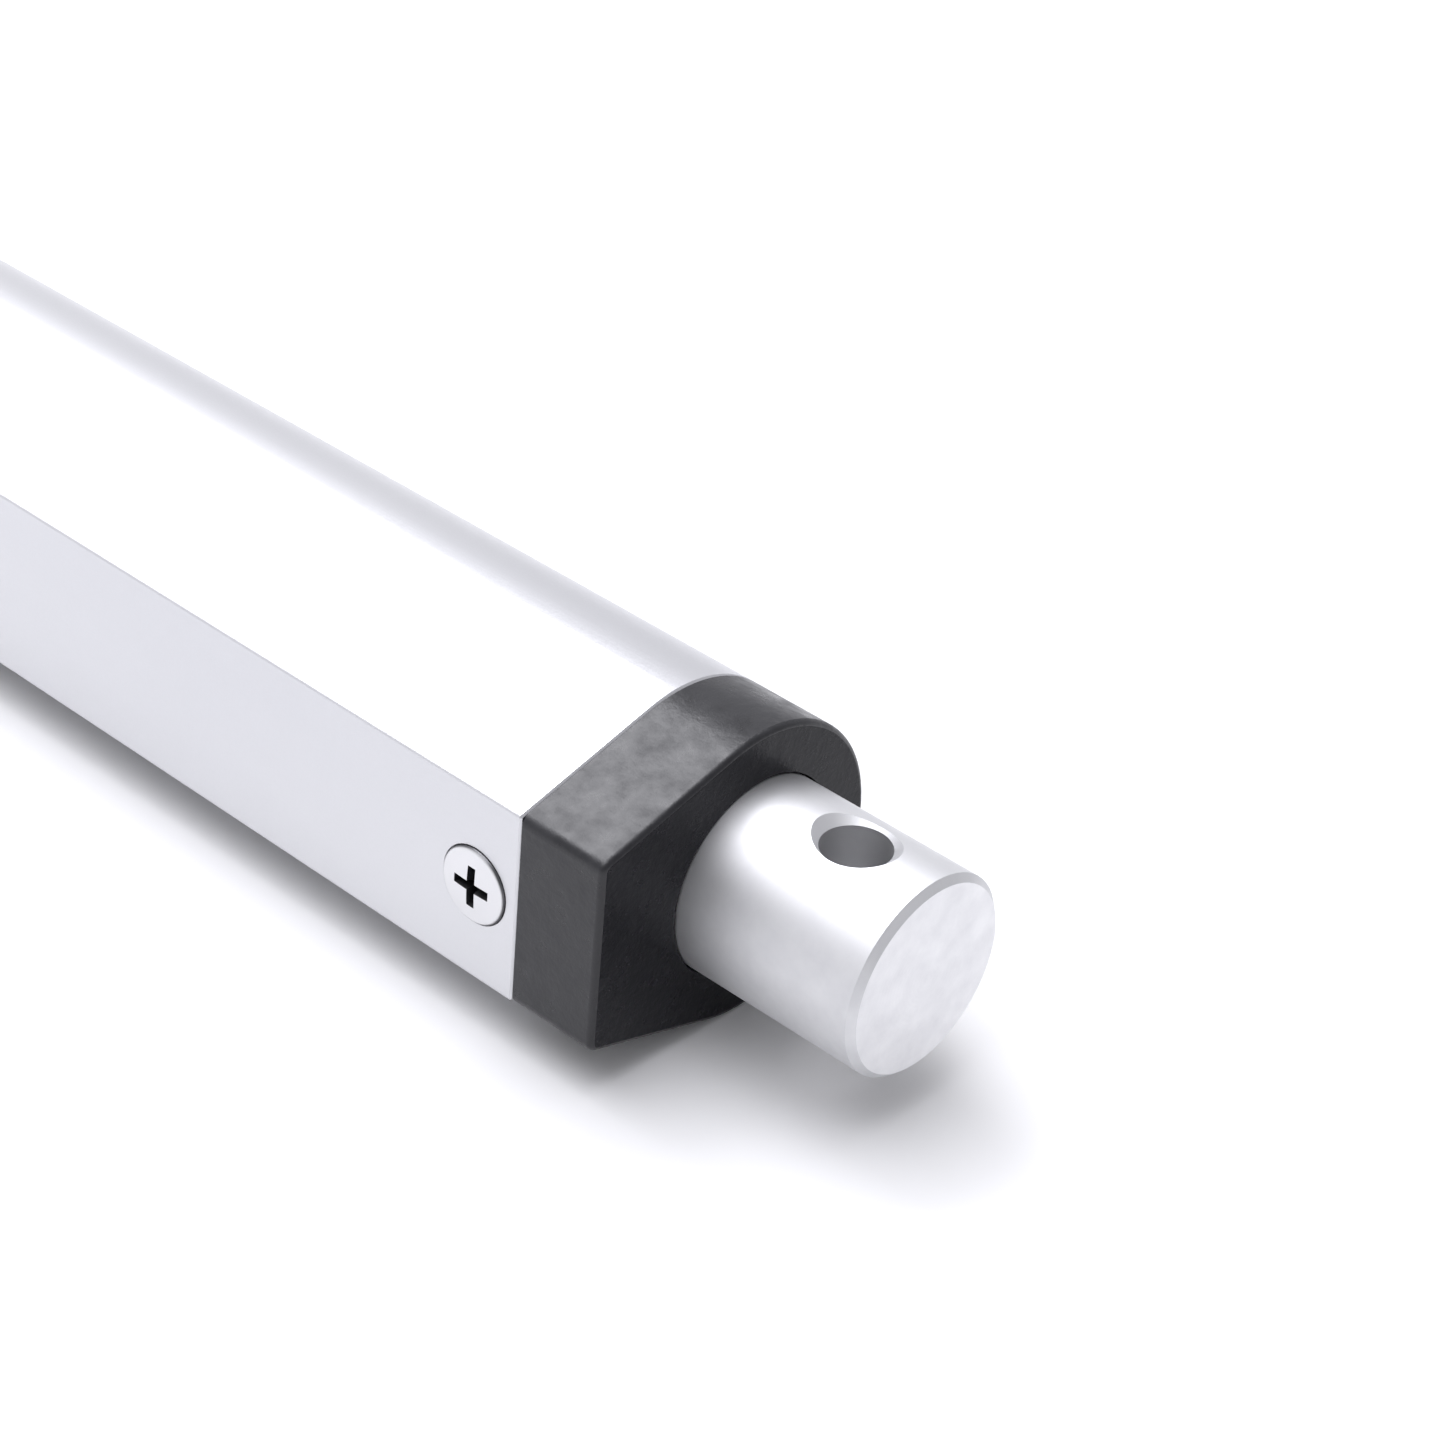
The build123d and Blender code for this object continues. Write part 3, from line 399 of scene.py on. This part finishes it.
def inside_metals():
    """Return the plainer metals of the inside."""
    return [
        metal("bearing_bronze", (0.63, 0.44, 0.24), roughness=0.45,
              grain=0.00015, depth=0.000008, tint=0.2),
        metal("gear_steel", (0.5, 0.5, 0.52), roughness=0.38,
              grain=0.0001, depth=0.000005, tint=0.15),
        metal("bright_steel", (0.68, 0.68, 0.7), roughness=0.2,
              grain=0.00008, depth=0.000002, lay=(1, 0.1, 0.1)),
        metal("brass", (0.76, 0.58, 0.28), roughness=0.28,
              grain=0.00015, depth=0.000003, tint=0.12),
        metal("zinc_plate", (0.66, 0.67, 0.69), roughness=0.33,
              grain=0.0003, depth=0.000004, tint=0.18),
        metal("sensor_magnet", (0.72, 0.72, 0.75), roughness=0.15,
              grain=0.0001, depth=0.000001),
        metal("copper", (0.74, 0.4, 0.25), roughness=0.3,
              grain=0.0001, depth=0.000003, lay=(1, 0.1, 0.1), tint=0.3),
        metal("tinned_brass", (0.72, 0.71, 0.67), roughness=0.32,
              grain=0.0002, depth=0.000004, tint=0.15),
        metal("holder_alloy", (0.62, 0.62, 0.64), roughness=0.36,
              grain=0.0001, depth=0.000004, lay=(1, 0.2, 0.2)),
    ]


def inside_mouldings():
    """Return the plainer plastics, rubbers and ceramics of the inside."""
    return [
        moulded("black_rubber", (0.02, 0.02, 0.021), roughness=0.62,
                grain=0.00016, depth=0.000012, edge=0.02),
        moulded("bush_polymer", (0.74, 0.71, 0.63), roughness=0.45,
                grain=0.0002, depth=0.000004),
        moulded("magnet_ceramic", (0.07, 0.07, 0.075), roughness=0.55,
                grain=0.00025, depth=0.00001, tint=0.3),
        moulded("nut_acetal", (0.82, 0.81, 0.77), roughness=0.42,
                grain=0.0002, depth=0.000004, tint=0.06),
        moulded("phenolic", (0.09, 0.065, 0.05), roughness=0.45,
                grain=0.0002, depth=0.000006, tint=0.3),
        moulded("carbon", (0.035, 0.035, 0.037), roughness=0.5,
                grain=0.00012, depth=0.000008, tint=0.3),
        moulded("component_black", (0.025, 0.025, 0.027), roughness=0.5,
                grain=0.00012, depth=0.000006),
        moulded("lead_red", (0.5, 0.02, 0.02), roughness=0.42,
                grain=0.0002, depth=0.000004),
        moulded("lead_black", (0.02, 0.02, 0.022), roughness=0.42,
                grain=0.0002, depth=0.000004),
    ]


surfaces = {surface.name: surface for surface in (
    anodised_silver(),
    rod_aluminium(),
    drilled_aluminium(),
    black_plastic(),
    black_plastic_end(),
    screw_steel(),
    winding_enamel(),
    laminations(),
    board_green(),
    *inside_metals(),
    *inside_mouldings(),
)}

# ---------------------------------------------------------------- materials on the pieces
plane_tolerance = 0.00005
bore_tolerance = 1.02
square_on = 0.99
edge_on = 0.1


def dress_pieces():
    """Give every piece the material that its slot in the record names."""
    for subpart in frame["record"]["subparts"]:
        mesh = frame["nodes"][subpart["node"]].data
        mesh.materials.clear()
        mesh.materials.append(surfaces[subpart["material_slot"]].material)


def redress_faces(node, slot, chosen):
    """Give a second material to those faces of a piece for which chosen is true."""
    mesh = frame["nodes"][node].data
    mesh.materials.append(surfaces[slot].material)
    for polygon in mesh.polygons:
        polygon.material_index = 1 if chosen(polygon) else 0


def dull_cap_end(cap, end_x):
    """Give a cap's outer end face, at end_x, the plastic that throws back less light."""
    redress_faces(cap, "black_plastic_end", lambda polygon: (
        abs(polygon.center.x - end_x) < plane_tolerance and abs(polygon.normal.x) > square_on
    ))


def bare_pin_hole():
    """Give the wall of the rod's pin hole the bare metal."""
    mounts = {mount["name"]: mount for mount in frame["record"]["mounts"]}
    pin_hole = mounts["rod_pin_hole"]
    middle = Vector(pin_hole["pos_m"][:2])
    reach = bore_tolerance * pin_hole["dims"]["r_mm"] / 1000
    redress_faces("push_rod", "drilled_aluminium", lambda polygon: (
        (polygon.center.xy - middle).length < reach and abs(polygon.normal.z) < edge_on
    ))


dress_pieces()
dull_cap_end("front_cap", front_cap_end)
dull_cap_end("rear_cap", rear_cap_end)
bare_pin_hole()

# ---------------------------------------------------------------- wound coils
pole_count = 3
wire_diameter = 0.00028
wire_layers = 4
turns_a_layer = 4
points_a_corner = 4
winding_clearance = 0.00005
neck_half_width = 0.0009
coil_inner_radius = 0.00205
# A layer's corner radius is this many times its distance from the pole's neck.
corner_rounding = 1.5


def turn_point(step, half_length, half_width, corner):
    """Return the place along and across a pole of one step round a rounded rectangle."""
    quarter, part = divmod(step % (4 * points_a_corner), points_a_corner)
    turned = (quarter + part / (points_a_corner - 1)) * pi / 2
    along = half_length - corner if quarter in (0, 3) else corner - half_length
    aside = half_width - corner if quarter in (0, 1) else corner - half_width
    return along + corner * cos(turned), aside + corner * sin(turned)


def coil_path(angle, middle_x, half_core):
    """Return the path of one coil's wire, wound out and back in layers round its pole."""
    outwards = Vector((0, cos(angle), sin(angle)))
    sideways = Vector((0, -sin(angle), cos(angle)))
    lowest = coil_inner_radius + wire_diameter / 2
    highest = lowest + turns_a_layer * wire_diameter
    steps_a_turn = 4 * points_a_corner
    path = []
    for layer in range(wire_layers):
        clear = winding_clearance + (layer + 0.5) * wire_diameter
        corner = corner_rounding * clear
        for step in range(turns_a_layer * steps_a_turn):
            risen = step / steps_a_turn * wire_diameter
            height = highest - risen if layer % 2 else lowest + risen
            along, aside = turn_point(step, half_core + clear, neck_half_width + clear, corner)
            path.append(Vector((middle_x + along, 0, 0)) + height * outwards + aside * sideways)
    return path


def wind_coils():
    """Wind the armature's coils turn by turn, each from one enamelled wire."""
    core_low, core_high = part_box("armature_core")
    middle_x = (core_low.x + core_high.x) / 2
    half_core = (core_high.x - core_low.x) / 2
    wire = bpy.data.curves.new("wound_coils", "CURVE")
    wire.dimensions = "3D"
    wire.bevel_depth = wire_diameter / 2
    wire.bevel_resolution = 1
    wire.use_fill_caps = True
    for pole in range(pole_count):
        path = coil_path(2 * pi * pole / pole_count, middle_x, half_core)
        spline = wire.splines.new("POLY")
        spline.points.add(len(path) - 1)
        for point, place in zip(spline.points, path):
            point.co = (*place, 1)
    coils = bpy.data.objects.new("wound_coils", wire)
    scene.collection.objects.link(coils)
    wire.materials.append(surfaces["winding_enamel"].material)
    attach(coils, "rotor")
    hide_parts("armature_windings")


wind_coils()

# ---------------------------------------------------------------- floor and light
floor_size = 6.0
floor_middle = (0.08, 0, cad_low.z)
floor_white = (0.7, 0.7, 0.7)
floor_shaded = (0.68, 0.68, 0.685)
studio_white = (0.955, 0.955, 1.0)
world_strength = 0.8
world_ramp = 0.3
world_bright_way = (-1.0, 0.0, 0.0)
# Each softbox: its place from the front cap's end, the side of its square and its radiance.
softboxes = {
    "overhead_softbox": ((-0.14, -0.2, 0.85), 0.8, 3.95),
    "wide_softbox": ((-0.5, 0.12, 0.74), 0.45, 6.4),
}


def add_floor():
    """A plain pale floor under the object, with the faintest unevenness in its paint."""
    bpy.ops.mesh.primitive_plane_add(size=floor_size, location=floor_middle)
    floor = bpy.context.object
    floor.name = "studio_floor"
    surface = Surface("floor_paint")
    uneven = surface.noise(size=0.4, detail=2)
    surface.feed("Base Color", surface.mix(uneven, floor_white, floor_shaded))
    surface.set(Roughness=0.9, Specular_IOR_Level=0.2)
    floor.data.materials.append(surface.material)


def add_softbox(name, away, side, radiance):
    """A square area light whose face shines with radiance, aimed at the front cap."""
    aim = Vector((front_cap_end, 0, 0))
    data = bpy.data.lights.new(name, "AREA")
    data.shape = "RECTANGLE"
    data.size = side
    data.size_y = side
    data.energy = radiance * pi * side * side
    data.color = studio_white
    box = bpy.data.objects.new(name, data)
    scene.collection.objects.link(box)
    box.location = aim + Vector(away)
    box.rotation_mode = "QUATERNION"
    box.rotation_quaternion = Vector(away).to_track_quat("Z", "Y")


def add_world():
    """A soft, nearly white surround, brighter towards world_bright_way."""
    world = bpy.data.worlds.new("studio")
    scene.world = world
    world.use_nodes = True
    tree = world.node_tree
    background = tree.nodes["Background"]
    background.inputs["Color"].default_value = (*studio_white, 1)
    along = tree.nodes.new("ShaderNodeVectorMath")
    along.operation = "DOT_PRODUCT"
    along.inputs[1].default_value = world_bright_way
    way = tree.nodes.new("ShaderNodeTexCoord").outputs["Generated"]
    tree.links.new(way, along.inputs[0])
    strength = tree.nodes.new("ShaderNodeMath")
    strength.operation = "MULTIPLY_ADD"
    strength.inputs[1].default_value = world_ramp
    strength.inputs[2].default_value = world_strength
    tree.links.new(along.outputs["Value"], strength.inputs[0])
    tree.links.new(strength.outputs["Value"], background.inputs["Strength"])


add_floor()
add_world()
for name, (away, side, radiance) in softboxes.items():
    add_softbox(name, away, side, radiance)
